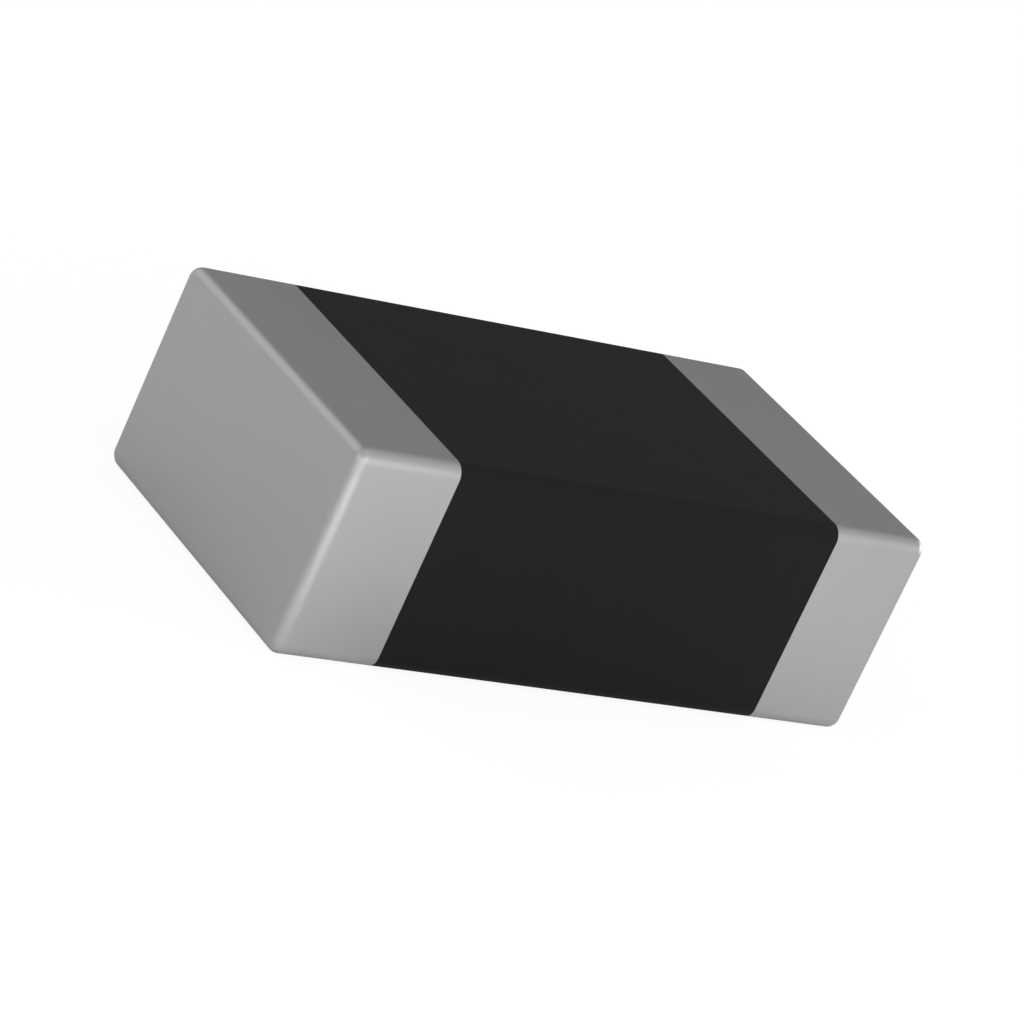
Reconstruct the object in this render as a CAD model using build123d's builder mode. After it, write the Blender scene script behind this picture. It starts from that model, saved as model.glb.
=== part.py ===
"""Surface-mount chip resistor with a body of resistive ceramic, in the 1206 (3216 metric) case.

A block of black semiconducting ceramic is the resistance. Inner electrodes reach into it from its two
ends in turn, a glass coat covers its middle, and a cap of silver, nickel and tin wraps each end.
X runs along the chip and Z up from the board. The origin is the middle of the footprint. Sizes in mm.
"""

import os

from build123d import *

# Outside of the finished chip
chip_length = 3.20
chip_width = 1.70
chip_height = 1.02
cap_wrap = 0.535  # reach of each end cap along the four long faces
long_edge_radius = 0.068  # the four edges along the chip
end_edge_radius = 0.052  # the edges round each end face

# Layers of an end cap, from the outside in
tin_thickness = 0.006
nickel_thickness = 0.004
silver_wall = 0.030  # on the four long faces
silver_end = 0.050  # on the end face, where the dipped paste stays thicker

# Ceramic block
ceramic_edge_radius = 0.050  # from tumbling, before the caps are dipped

# Inner electrodes, printed on the ceramic sheets before they are stacked and fired
electrode_count = 8
electrode_thickness = 0.004
cover_thickness = 0.170  # ceramic over the top electrode and under the bottom one
side_margin = 0.210  # ceramic beside each electrode
end_gap = 0.420  # ceramic between an electrode's free end and the far end face
electrode_corner_radius = 0.060  # at the free end

# What follows from the sizes above
plating = tin_thickness + nickel_thickness
ceramic_length = chip_length - 2 * (plating + silver_end)
ceramic_width = chip_width - 2 * (plating + silver_wall)
ceramic_height = chip_height - 2 * (plating + silver_wall)
coat_length = chip_length - 2 * cap_wrap
lowest_electrode = (chip_height - ceramic_height) / 2 + cover_thickness
highest_electrode = chip_height - lowest_electrode - electrode_thickness

# Plane of the chip's cross-section, centred at half its height
section = Plane.YZ.shift_origin((0, 0, chip_height / 2))


def ceramic_outline():
    """The ceramic block as it leaves the tumbling barrel, with nothing cut from it."""
    with BuildPart() as outline:
        with BuildSketch(section.offset(-ceramic_length / 2)):
            Rectangle(ceramic_width, ceramic_height)
        extrude(amount=ceramic_length)
        fillet(outline.edges(), ceramic_edge_radius)
    return outline.part


def cap_outline(inset):
    """The left cap as a full brick, taken in by inset on all its faces and at its rim."""
    with BuildPart() as outline:
        with BuildSketch(section.offset(inset - chip_length / 2)):
            RectangleRounded(
                chip_width - 2 * inset,
                chip_height - 2 * inset,
                long_edge_radius - inset,
            )
        extrude(amount=cap_wrap - 2 * inset)
        end_face = outline.faces().sort_by(Axis.X)[0]
        fillet(end_face.edges(), end_edge_radius - inset)
    return outline.part


def left_electrode(level):
    """A printed plate that starts at the left end face and stops short of the right one."""
    with BuildPart() as plate:
        with BuildSketch(Plane.XY.offset(level)) as print_area:
            with Locations((-end_gap / 2, 0)):
                Rectangle(ceramic_length - end_gap, ceramic_width - 2 * side_margin)
            free_corners = print_area.vertices().group_by(Axis.X)[-1]
            fillet(free_corners, electrode_corner_radius)
        extrude(amount=electrode_thickness)
    return plate.part


def write(part, name):
    """Labels a finished piece and writes it to its own file."""
    part.label = name
    export_step(part, f"parts/{name}.step")


os.makedirs("parts", exist_ok=True)

# Inner electrodes, evenly spaced from the bottom up, in turn from the left and from the right
electrodes = []
for number in range(electrode_count):
    rise = (highest_electrode - lowest_electrode) * number / (electrode_count - 1)
    plate = left_electrode(lowest_electrode + rise)
    side = ("left", "right")[number % 2]
    if side == "right":
        plate = mirror(plate, about=Plane.YZ)
    write(plate, f"{side}_electrode_{number // 2 + 1}")
    electrodes.append(plate)

# Ceramic block, fired solid round the electrodes
ceramic = ceramic_outline()
with BuildPart() as ceramic_block:
    add(ceramic)
    add(electrodes, mode=Mode.SUBTRACT)

write(ceramic_block.part, "ceramic_block")

# Glass coat, a sleeve between the caps and flush with them
with BuildPart() as glass_coat:
    with BuildSketch(section.offset(-coat_length / 2)):
        RectangleRounded(chip_width, chip_height, long_edge_radius)
    extrude(amount=coat_length)
    add(ceramic, mode=Mode.SUBTRACT)

write(glass_coat.part, "glass_coat")

# End caps, each layer between its own outline and the next one in. The outlines are set back at the
# rim too, so the nickel wraps the edge of the silver and the tin wraps the edge of the nickel.
tin_outline = cap_outline(0)
nickel_outline = cap_outline(tin_thickness)
silver_outline = cap_outline(plating)
cap_layers = {
    "tin_plating": (tin_outline, [nickel_outline, ceramic]),
    "nickel_barrier": (nickel_outline, [silver_outline, ceramic]),
    "silver_base": (silver_outline, [ceramic]),
}
for layer_name, (outline, inside) in cap_layers.items():
    with BuildPart() as left_layer:
        add(outline)
        add(inside, mode=Mode.SUBTRACT)
    with BuildPart() as right_layer:
        mirror(left_layer.part, about=Plane.YZ)
    write(left_layer.part, f"left_{layer_name}")
    write(right_layer.part, f"right_{layer_name}")
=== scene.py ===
"""Surface-mount chip resistor on a white floor, seen from its left front and a little above.

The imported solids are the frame. The tin skins of the two caps and the glass coat between them,
which are all that shows, are grown again from their sizes with finer rounded edges. The layers
under them stay as packed. X runs along the chip, Z is up, and lengths are in metres unless a
name or a comment says mm.
"""

import math

import bpy
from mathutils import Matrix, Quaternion, Vector


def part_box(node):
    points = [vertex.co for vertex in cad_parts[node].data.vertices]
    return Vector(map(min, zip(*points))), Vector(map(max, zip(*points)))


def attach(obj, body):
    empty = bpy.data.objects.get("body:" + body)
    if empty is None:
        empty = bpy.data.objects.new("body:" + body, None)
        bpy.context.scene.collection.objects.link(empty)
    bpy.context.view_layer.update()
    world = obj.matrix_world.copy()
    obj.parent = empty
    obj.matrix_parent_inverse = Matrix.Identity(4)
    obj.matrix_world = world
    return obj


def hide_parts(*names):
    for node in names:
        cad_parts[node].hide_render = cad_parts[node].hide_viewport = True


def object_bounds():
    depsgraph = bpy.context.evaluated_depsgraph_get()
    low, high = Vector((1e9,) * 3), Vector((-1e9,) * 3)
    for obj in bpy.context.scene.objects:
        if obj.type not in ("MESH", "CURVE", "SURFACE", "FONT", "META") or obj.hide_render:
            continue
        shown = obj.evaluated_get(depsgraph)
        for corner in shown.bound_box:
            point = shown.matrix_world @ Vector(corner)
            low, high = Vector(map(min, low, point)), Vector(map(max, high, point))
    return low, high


MM = 0.001

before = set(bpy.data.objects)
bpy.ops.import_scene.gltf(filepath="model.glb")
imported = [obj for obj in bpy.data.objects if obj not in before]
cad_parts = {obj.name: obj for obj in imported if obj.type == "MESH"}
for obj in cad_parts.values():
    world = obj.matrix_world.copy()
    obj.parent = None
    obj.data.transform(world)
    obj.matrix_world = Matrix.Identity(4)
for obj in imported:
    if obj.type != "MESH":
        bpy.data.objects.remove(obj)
cad_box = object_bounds()
scene = bpy.context.scene


def node(tree, kind, inputs=None, **settings):
    """Adds a node with its settings. An input takes a value or another node's output."""
    made = tree.nodes.new(kind)
    for name, value in settings.items():
        setattr(made, name, value)
    for key, value in (inputs or {}).items():
        if isinstance(value, bpy.types.NodeSocket):
            tree.links.new(value, made.inputs[key])
        else:
            made.inputs[key].default_value = value
    return made


# ---- materials

# The Mix node has a set of sockets for each kind of data, all under the same names. These are its
# colour sockets.
COLOUR_A, COLOUR_B, COLOUR_RESULT = 6, 7, 2
NOISE_LOW, NOISE_HIGH = 0.3, 0.7  # a noise texture seldom leaves this range


def linear(hex_colour):
    """An sRGB hex colour as the linear RGBA that shaders read."""
    parts = [int(hex_colour[i:i + 2], 16) / 255 for i in (1, 3, 5)]
    return [p / 12.92 if p <= 0.04045 else ((p + 0.055) / 1.055) ** 2.4 for p in parts] + [1.0]


def noise(tree, place, apart_mm, detail):
    """The output of a noise texture with spots that lie about apart_mm from one another."""
    texture = node(tree, "ShaderNodeTexNoise", {
        "Vector": place, "Scale": 1 / (apart_mm * MM), "Detail": detail})
    return texture.outputs["Fac"]


def surface(name, colours, roughness, patch_mm, grain_mm, relief_mm, **fixed):
    """A material with patches of two near colours, an uneven roughness and a fine relief.

    patch_mm and grain_mm are how far apart the patches and the grains lie, and relief_mm is how
    high the grains stand. fixed holds what is the same all over, by the shader's socket names.
    """
    material = bpy.data.materials.new(name)
    material.use_nodes = True
    tree = material.node_tree
    shader = tree.nodes["Principled BSDF"]
    for socket, value in fixed.items():
        shader.inputs[socket.replace("_", " ")].default_value = value
    place = node(tree, "ShaderNodeTexCoord").outputs["Object"]
    patches = noise(tree, place, patch_mm, detail=2.0)
    grains = noise(tree, place, grain_mm, detail=1.0)
    colour = node(tree, "ShaderNodeMix", {
        "Factor": patches, COLOUR_A: linear(colours[0]), COLOUR_B: linear(colours[1])},
        data_type="RGBA")
    rough = node(tree, "ShaderNodeMapRange", {
        "Value": patches, "From Min": NOISE_LOW, "From Max": NOISE_HIGH,
        "To Min": roughness[0], "To Max": roughness[1]})
    relief = node(tree, "ShaderNodeBump", {
        "Height": grains, "Distance": relief_mm * MM, "Strength": 1.0})
    tree.links.new(colour.outputs[COLOUR_RESULT], shader.inputs["Base Color"])
    tree.links.new(rough.outputs["Result"], shader.inputs["Roughness"])
    tree.links.new(relief.outputs["Normal"], shader.inputs["Normal"])
    return material


# Matte tin, plated without brighteners: a soft grey metal with no clear reflections and a fine
# crystal grain. Real grains are 0.002 to 0.005 mm across, about the size of a pixel, so they are
# drawn larger.
matte_tin = surface(
    "matte_tin_plating", ("#B5B5B5", "#B8B8B8"), (0.44, 0.46), patch_mm=0.30, grain_mm=0.012,
    relief_mm=0.0002, Metallic=1.0)

# Black borosilicate glaze, fired thin over the ceramic: a deep black with a dull satin skin,
# because its filler breaks up the reflection. It shines most where it is seen at a low angle, so
# the top looks a little lighter than the side.
black_glaze = surface(
    "black_glass_glaze", ("#191919", "#1B1B1B"), (0.44, 0.48), patch_mm=0.25, grain_mm=0.020,
    relief_mm=0.0002, Specular_IOR_Level=0.08)

# Nickel barrier, a yellowish satin metal. Tin hides it.
nickel = surface(
    "electroplated_nickel", ("#C9C2B4", "#BDB6A8"), (0.30, 0.38), patch_mm=0.20, grain_mm=0.008,
    relief_mm=0.0003, Metallic=1.0)

# Fired silver paste, chalky white metal with glass frit and pores in it.
fired_silver = surface(
    "fired_silver_paste", ("#DAD8D2", "#C8C5BD"), (0.55, 0.70), patch_mm=0.08, grain_mm=0.015,
    relief_mm=0.0015, Metallic=1.0)

# Sintered oxide of manganese and nickel: matt black, with a grain like fine slate.
oxide_ceramic = surface(
    "sintered_manganite_ceramic", ("#2F2E2F", "#232324"), (0.75, 0.88), patch_mm=0.10,
    grain_mm=0.010, relief_mm=0.0008)

# Printed electrode ink, fired between the ceramic sheets into a thin grey metal film with
# pinholes.
electrode_film = surface(
    "fired_electrode_ink", ("#D0CBC3", "#B5B0A8"), (0.40, 0.55), patch_mm=0.05, grain_mm=0.012,
    relief_mm=0.0004, Metallic=1.0)

HIDDEN_LAYERS = {
    "nickel_barrier": nickel,
    "silver_base": fired_silver,
    "ceramic_block": oxide_ceramic,
    "electrode": electrode_film,
}
for name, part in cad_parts.items():
    for kind, material in HIDDEN_LAYERS.items():
        if kind in name:
            part.data.materials.clear()
            part.data.materials.append(material)


# ---- shapes, worked out in mm inside the trees and scaled to metres at their ends

# Edge radii and layer thicknesses, in mm. All other sizes are read from the frame.
LONG_EDGE_RADIUS = 0.068  # the four edges along the chip
END_EDGE_RADIUS = 0.052  # the edges round each end face
CERAMIC_EDGE_RADIUS = 0.050  # under the coat
TIN_THICKNESS = 0.006

EDGE_FACETS = 14  # across a quarter turn of a rounded edge
SHARP = math.radians(40)  # an edge that turns by more than this isn't smoothed
LAP = 0.08  # how far a cap's wall goes on past its rounded edge, as a share of the edge's radius
TWO_FACES = 1.5  # an edge has both its faces if it has more than this
WELD_MM = 1e-5  # points closer than this are one
ALONG_X = (math.pi / 2, 0.0, math.pi / 2)  # turns a shape that was grown up Z to lie along X


def shape_tree(name, sizes):
    """An empty tree with named inputs for its sizes. Returns it and its inputs, by name."""
    tree = bpy.data.node_groups.new(name, "GeometryNodeTree")
    tree.is_modifier = True
    kinds = {size: "NodeSocketFloat" for size in sizes}
    kinds.update({
        "Edge Facets": "NodeSocketInt", "Start": "NodeSocketVector", "Turn": "NodeSocketVector",
        "Material": "NodeSocketMaterial"})
    for size, kind in kinds.items():
        tree.interface.new_socket(size, in_out="INPUT", socket_type=kind)
    tree.interface.new_socket("Geometry", in_out="OUTPUT", socket_type="NodeSocketGeometry")
    return tree, node(tree, "NodeGroupInput").outputs


def less(tree, a, b, times=1.0):
    """a - times * b"""
    taken = node(tree, "ShaderNodeMath", {0: b, 1: -times, 2: a}, operation="MULTIPLY_ADD")
    return taken.outputs["Value"]


def rounded_loop(tree, width, height, radius, facets):
    """A rectangle with rounded corners, lying flat."""
    box = node(tree, "GeometryNodeCurvePrimitiveQuadrilateral", {"Width": width, "Height": height})
    loop = node(tree, "GeometryNodeFilletCurve", {
        "Curve": box.outputs["Curve"], "Count": facets, "Radius": radius}, mode="POLY")
    return loop.outputs["Curve"]


def finish_tree(tree, given, parts):
    """Joins the parts of a closed shape, shades it, places it and gives it its material."""
    joined = node(tree, "GeometryNodeJoinGeometry")
    for part in parts:
        tree.links.new(part, joined.inputs[0])
    merged = node(tree, "GeometryNodeMergeByDistance", {
        "Geometry": joined.outputs[0], "Distance": WELD_MM})
    smooth = node(tree, "GeometryNodeSetShadeSmooth", {
        "Geometry": merged.outputs[0], "Shade Smooth": True})
    angle = node(tree, "GeometryNodeInputMeshEdgeAngle").outputs["Unsigned Angle"]
    is_sharp = node(tree, "FunctionNodeCompare", {"A": angle, "B": SHARP})
    creased = node(tree, "GeometryNodeSetShadeSmooth", {
        "Geometry": smooth.outputs[0], "Selection": is_sharp.outputs[0], "Shade Smooth": False},
        domain="EDGE")
    placed = node(tree, "GeometryNodeTransform", {
        "Geometry": creased.outputs[0], "Translation": given["Start"], "Rotation": given["Turn"],
        "Scale": (MM, MM, MM)})
    real = node(tree, "GeometryNodeRealizeInstances", {"Geometry": placed.outputs[0]})
    painted = node(tree, "GeometryNodeSetMaterial", {
        "Geometry": real.outputs[0], "Material": given["Material"]})
    node(tree, "NodeGroupOutput", {"Geometry": painted.outputs[0]})
    return tree


def cap_skin_tree():
    """The tin skin of one cap: a section of its wall swept round the chip, and the end face."""
    tree, given = shape_tree("cap skin", (
        "Width", "Height", "Wrap", "Long Edge Radius", "End Edge Radius", "Skin", "Wall"))
    wrap, skin, wall, radius = (given[n] for n in ("Wrap", "Skin", "Wall", "End Edge Radius"))
    inner_radius = less(tree, radius, skin)
    rim = less(tree, wrap, skin)
    reach = less(tree, radius, radius, -LAP)
    # The section from the outer end face over the rounded edge, along the cap, down its rim and
    # back inside: how far in from the outline, how deep from the end face, and the radius of that
    # corner.
    section = [
        (reach, 0.0, 0.0), (0.0, 0.0, radius), (0.0, wrap, 0.0), (wall, wrap, 0.0),
        (wall, rim, 0.0), (skin, rim, 0.0), (skin, skin, inner_radius), (reach, skin, 0.0)]
    place = node(tree, "GeometryNodeIndexSwitch", data_type="VECTOR")
    round_off = node(tree, "GeometryNodeIndexSwitch", data_type="FLOAT")
    index = node(tree, "GeometryNodeInputIndex").outputs[0]
    for switch in (place, round_off):
        tree.links.new(index, switch.inputs["Index"])
        for _ in section[2:]:  # a new switch has two items
            switch.index_switch_items.new()
    for number, (inset, depth, corner) in enumerate(section):
        point = node(tree, "ShaderNodeCombineXYZ", {"X": inset, "Y": depth})
        tree.links.new(point.outputs[0], place.inputs[str(number)])
        if corner:
            tree.links.new(corner, round_off.inputs[str(number)])
    line = node(tree, "GeometryNodeMeshLine", {"Count": len(section)})
    curve = node(tree, "GeometryNodeMeshToCurve", {"Mesh": line.outputs[0]})
    bent = node(tree, "GeometryNodeSetPosition", {
        "Geometry": curve.outputs[0], "Position": place.outputs[0]})
    rounded = node(tree, "GeometryNodeFilletCurve", {
        "Curve": bent.outputs[0], "Count": given["Edge Facets"], "Radius": round_off.outputs[0]},
        mode="POLY")
    # A sweep lays its section out the other way round: X outwards and Y down
    profile = node(tree, "GeometryNodeTransform", {
        "Geometry": rounded.outputs[0], "Rotation": (0, 0, math.pi)})
    outline = rounded_loop(
        tree, given["Width"], given["Height"], given["Long Edge Radius"], given["Edge Facets"])
    upright = node(tree, "GeometryNodeSetCurveNormal", {"Curve": outline}, mode="Z_UP")
    swept = node(tree, "GeometryNodeCurveToMesh", {
        "Curve": upright.outputs[0], "Profile Curve": profile.outputs[0]})
    # The end face fills the open loop at the outer end of the wall, and again a skin's thickness
    # further in. The outer loop is the one that lies less than half a skin deep.
    position = node(tree, "GeometryNodeInputPosition").outputs[0]
    depth = node(tree, "ShaderNodeSeparateXYZ", {0: position}).outputs["Z"]
    is_outer = node(tree, "FunctionNodeCompare", {
        "A": depth, "B": less(tree, skin, skin, 0.5)}, operation="LESS_THAN")
    faces = node(tree, "GeometryNodeInputMeshEdgeNeighbors").outputs[0]
    is_open = node(tree, "FunctionNodeCompare", {
        "A": faces, "B": TWO_FACES}, operation="LESS_THAN")
    both = node(tree, "FunctionNodeBooleanMath", {0: is_outer.outputs[0], 1: is_open.outputs[0]})
    loop = node(tree, "GeometryNodeMeshToCurve", {
        "Mesh": swept.outputs[0], "Selection": both.outputs[0]})
    face = node(tree, "GeometryNodeFillCurve", {"Curve": loop.outputs[0]}, mode="NGONS").outputs[0]
    outer = node(tree, "GeometryNodeFlipFaces", {"Mesh": face})
    up = node(tree, "ShaderNodeCombineXYZ", {"Z": skin})
    inner = node(tree, "GeometryNodeTransform", {"Geometry": face, "Translation": up.outputs[0]})
    walls = node(tree, "GeometryNodeFlipFaces", {"Mesh": swept.outputs[0]})
    return finish_tree(tree, given, [walls.outputs[0], outer.outputs[0], inner.outputs[0]])


def sleeve_tree():
    """The glass coat: the ring between the outlines of the chip and the ceramic, drawn out."""
    tree, given = shape_tree("coat sleeve", (
        "Width", "Height", "Length", "Long Edge Radius", "Coat", "Ceramic Edge Radius"))
    width, height, coat, facets = (given[n] for n in ("Width", "Height", "Coat", "Edge Facets"))
    outside = rounded_loop(tree, width, height, given["Long Edge Radius"], facets)
    inside = rounded_loop(
        tree, less(tree, width, coat, 2), less(tree, height, coat, 2),
        given["Ceramic Edge Radius"], facets)
    loops = node(tree, "GeometryNodeJoinGeometry")
    tree.links.new(outside, loops.inputs[0])
    tree.links.new(inside, loops.inputs[0])
    filled = node(tree, "GeometryNodeFillCurve", {"Curve": loops.outputs[0]}, mode="TRIANGLES")
    ring = filled.outputs[0]
    up = node(tree, "ShaderNodeCombineXYZ", {"Z": given["Length"]})
    drawn = node(tree, "GeometryNodeExtrudeMesh", {
        "Mesh": ring, "Offset": up.outputs[0], "Individual": False})
    far = node(tree, "GeometryNodeFlipFaces", {"Mesh": ring})
    return finish_tree(tree, given, [drawn.outputs[0], far.outputs[0]])


def grow(name, tree, cad_node, slot, **values):
    """Runs a shape tree and leaves its result as a plain mesh that stands for a CAD node."""
    piece = bpy.data.objects.new(name, bpy.data.meshes.new(name))
    scene.collection.objects.link(piece)
    shaping = piece.modifiers.new("shape", "NODES")
    shaping.node_group = tree
    for socket in tree.interface.items_tree:
        if socket.in_out == "INPUT":
            shaping[socket.identifier] = values[socket.name.replace(" ", "_").lower()]
    shading = piece.modifiers.new("flat faces stay flat", "WEIGHTED_NORMAL")
    shading.keep_sharp = True
    depsgraph = bpy.context.evaluated_depsgraph_get()
    mesh = bpy.data.meshes.new_from_object(piece.evaluated_get(depsgraph), depsgraph=depsgraph)
    mesh.materials.pop(index=0)  # the empty slot that the shape started with
    piece.modifiers.clear()
    piece.data = mesh
    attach(piece, "root")
    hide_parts(cad_node)


low, high = cad_box
middle_z = (low.z + high.z) / 2
coat_low, coat_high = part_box("glass_coat")
ceramic_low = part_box("ceramic_block")[0]
wall = (ceramic_low.z - low.z) / MM
outline_sizes = {
    "width": (high.y - low.y) / MM, "height": (high.z - low.z) / MM,
    "long_edge_radius": LONG_EDGE_RADIUS, "edge_facets": EDGE_FACETS}

cap_skin = cap_skin_tree()
for side, end, rim, turn in (
        ("left", low.x, coat_low.x, 0.0), ("right", high.x, coat_high.x, math.pi)):
    grow(f"{side}_cap_skin", cap_skin, f"{side}_tin_plating", "tin",
         wrap=abs(rim - end) / MM, end_edge_radius=END_EDGE_RADIUS, skin=TIN_THICKNESS, wall=wall,
         start=(end, 0.0, middle_z), turn=(ALONG_X[0], 0.0, ALONG_X[2] + turn),
         material=matte_tin, **outline_sizes)

grow("coat_sleeve", sleeve_tree(), "glass_coat", "glass_coat",
     length=(coat_high.x - coat_low.x) / MM, coat=wall, ceramic_edge_radius=CERAMIC_EDGE_RADIUS,
     start=(coat_low.x, 0.0, middle_z), turn=ALONG_X, material=black_glaze, **outline_sizes)


# ---- floor

FLOOR_HALF = 0.4  # from the middle of the sheet to each side
FLOOR_DROP = 1e-6  # how far the sheet lies under the chip

# The sheet gives back this much of the lamps' light, and glows this much besides, first as the
# metal sees it and then as the lens does: nearly white both times, with its shadow whole and with
# its shadow faint
SHEET_SHADE = (0.90, 0.12)
SHEET_GLOW = (0.0, 0.91)
PAPER = (0.8, 0.8, 0.8, 1.0)  # the sheet for all other rays


def white_floor():
    """A white sheet that the lens sees lit from below as well, so that it stays white."""
    material = bpy.data.materials.new("white_floor")
    material.use_nodes = True
    tree = material.node_tree
    tree.nodes.clear()
    rays = node(tree, "ShaderNodeLightPath").outputs
    lens = rays["Is Camera Ray"]
    seen = lens
    for kind in ("Is Glossy Ray", "Is Transmission Ray"):
        either = node(tree, "ShaderNodeMath", {0: seen, 1: rays[kind]}, operation="MAXIMUM")
        seen = either.outputs[0]
    shade, glow = (
        node(tree, "ShaderNodeMapRange", {
            "Value": lens, "To Min": metal, "To Max": camera}).outputs["Result"]
        for metal, camera in (SHEET_SHADE, SHEET_GLOW))
    paper = node(tree, "ShaderNodeBsdfDiffuse", {"Color": PAPER})
    shaded = node(tree, "ShaderNodeBsdfDiffuse", {"Color": shade})
    glowing = node(tree, "ShaderNodeEmission", {"Strength": glow})
    lit = node(tree, "ShaderNodeAddShader", {0: shaded.outputs[0], 1: glowing.outputs[0]})
    mixed = node(tree, "ShaderNodeMixShader", {0: seen, 1: paper.outputs[0], 2: lit.outputs[0]})
    node(tree, "ShaderNodeOutputMaterial", {"Surface": mixed.outputs[0]})
    return material


sheet = bpy.data.meshes.new("floor")
corners = [(x * FLOOR_HALF, y * FLOOR_HALF, low.z - FLOOR_DROP)
           for x, y in ((-1, -1), (1, -1), (1, 1), (-1, 1))]
sheet.from_pydata(corners, [], [(0, 1, 2, 3)])
sheet.materials.append(white_floor())
floor = bpy.data.objects.new("floor", sheet)
scene.collection.objects.link(floor)


# ---- light

# A lamp's azimuth and elevation say where it hangs, in degrees from +X and above the floor. Its
# level is what a white card that faces it would show, where 1 is white.
BOX_DISTANCE = 0.3
SOFT_BOXES = (
    # name, azimuth, elevation, width, height, level
    ("front", -90, 20, 0.45, 0.20, 0.521),
    ("front_high", -60, 65, 0.36, 0.36, 0.292),
    ("right", 0, 10, 0.24, 0.15, 0.482),
    ("back_right", 30, 45, 0.19, 0.19, 0.029),
    ("back", 75, 30, 0.19, 0.19, 0.021),
    ("back_left", 120, 30, 0.30, 0.30, 0.245),
    ("left_high", 180, 55, 0.24, 0.24, 0.090),
    ("left", -160, 15, 0.30, 0.18, 0.246),
)

SPOT_DISTANCE = 0.1
SPOT_AZIMUTH, SPOT_ELEVATION = -110, 60
SPOT_BULB = 0.001  # radius, which softens the edge of its shadows
SHEET_SPOTS = (
    # name, x, y and radius of the round on the sheet in mm, level
    ("corner_spot", -2.70, -3.40, 1.9, 2.113),
    ("front_spot", 1.61, -4.68, 3.4, 0.559),
)

DIM_GREY = 0.2  # what the metal sees where no lamp is


def direction(azimuth, elevation):
    """Unit vector towards an azimuth from +X and an elevation above the floor, in degrees."""
    a, e = math.radians(azimuth), math.radians(elevation)
    return Vector((math.cos(a) * math.cos(e), math.sin(a) * math.cos(e), math.sin(e)))


def hang(lamp, aim, azimuth, elevation, distance):
    """Hangs a lamp so that it shines at a point from afar, unseen by the lens."""
    holder = bpy.data.objects.new(lamp.name, lamp)
    away = direction(azimuth, elevation)
    holder.location = aim + away * distance
    holder.rotation_euler = away.to_track_quat("Z", "Y").to_euler()
    holder.visible_camera = False
    scene.collection.objects.link(holder)


def soft_box(name, azimuth, elevation, width, height, level):
    """A soft box that faces the middle of the chip's footprint."""
    lamp = bpy.data.lights.new(name, "AREA")
    lamp.shape = "RECTANGLE"
    lamp.size, lamp.size_y = width, height
    lamp.energy = level * (math.pi * BOX_DISTANCE) ** 2
    hang(lamp, Vector((0, 0, 0)), azimuth, elevation, BOX_DISTANCE)


def sheet_spot(name, x, y, radius, level):
    """A spot lamp that brightens a soft round of the sheet beside the chip."""
    lamp = bpy.data.lights.new(name, "SPOT")
    lamp.spot_size = 2 * math.atan(radius * MM / SPOT_DISTANCE)
    lamp.spot_blend = 1.0
    lamp.shadow_soft_size = SPOT_BULB
    lamp.energy = level * (2 * math.pi * SPOT_DISTANCE) ** 2
    hang(lamp, Vector((x, y, 0)) * MM, SPOT_AZIMUTH, SPOT_ELEVATION, SPOT_DISTANCE)


def studio():
    """Dim grey all round the chip, and a white backdrop for the lens alone."""
    world = bpy.data.worlds.new("grey_studio")
    world.use_nodes = True
    tree = world.node_tree
    tree.nodes.clear()
    lens = node(tree, "ShaderNodeLightPath").outputs["Is Camera Ray"]
    grey, white = (
        node(tree, "ShaderNodeBackground", {"Color": (1, 1, 1, 1), "Strength": strength})
        for strength in (DIM_GREY, 1.0))
    mixed = node(tree, "ShaderNodeMixShader", {0: lens, 1: grey.outputs[0], 2: white.outputs[0]})
    node(tree, "ShaderNodeOutputWorld", {"Surface": mixed.outputs[0]})
    return world


for box in SOFT_BOXES:
    soft_box(*box)
for spot in SHEET_SPOTS:
    sheet_spot(*spot)
scene.world = studio()


# ---- camera, placed so that the chip's outline and edges fall where the photo has them

LENS_MM, SENSOR_MM = 175.7, 36
NEAREST, FURTHEST = 0.001, 1.0  # the lens sees nothing outside this
AIM = Vector((-0.0284, -0.0023, 0.4550)) * MM
CAMERA_AZIMUTH, CAMERA_ELEVATION, CAMERA_ROLL = -129.68, 19.90, 24.87
CAMERA_DISTANCE_MM = 22.59

camera = bpy.data.objects.new("camera", bpy.data.cameras.new("camera"))
camera.data.lens, camera.data.sensor_width = LENS_MM, SENSOR_MM
camera.data.clip_start, camera.data.clip_end = NEAREST, FURTHEST
back = direction(CAMERA_AZIMUTH, CAMERA_ELEVATION)
camera.location = AIM + back * CAMERA_DISTANCE_MM * MM
camera.rotation_mode = "QUATERNION"
roll = Quaternion((0, 0, 1), math.radians(CAMERA_ROLL))
camera.rotation_quaternion = (-back).to_track_quat("-Z", "Y") @ roll
scene.collection.objects.link(camera)
scene.camera = camera

scene.view_settings.view_transform = "Standard"
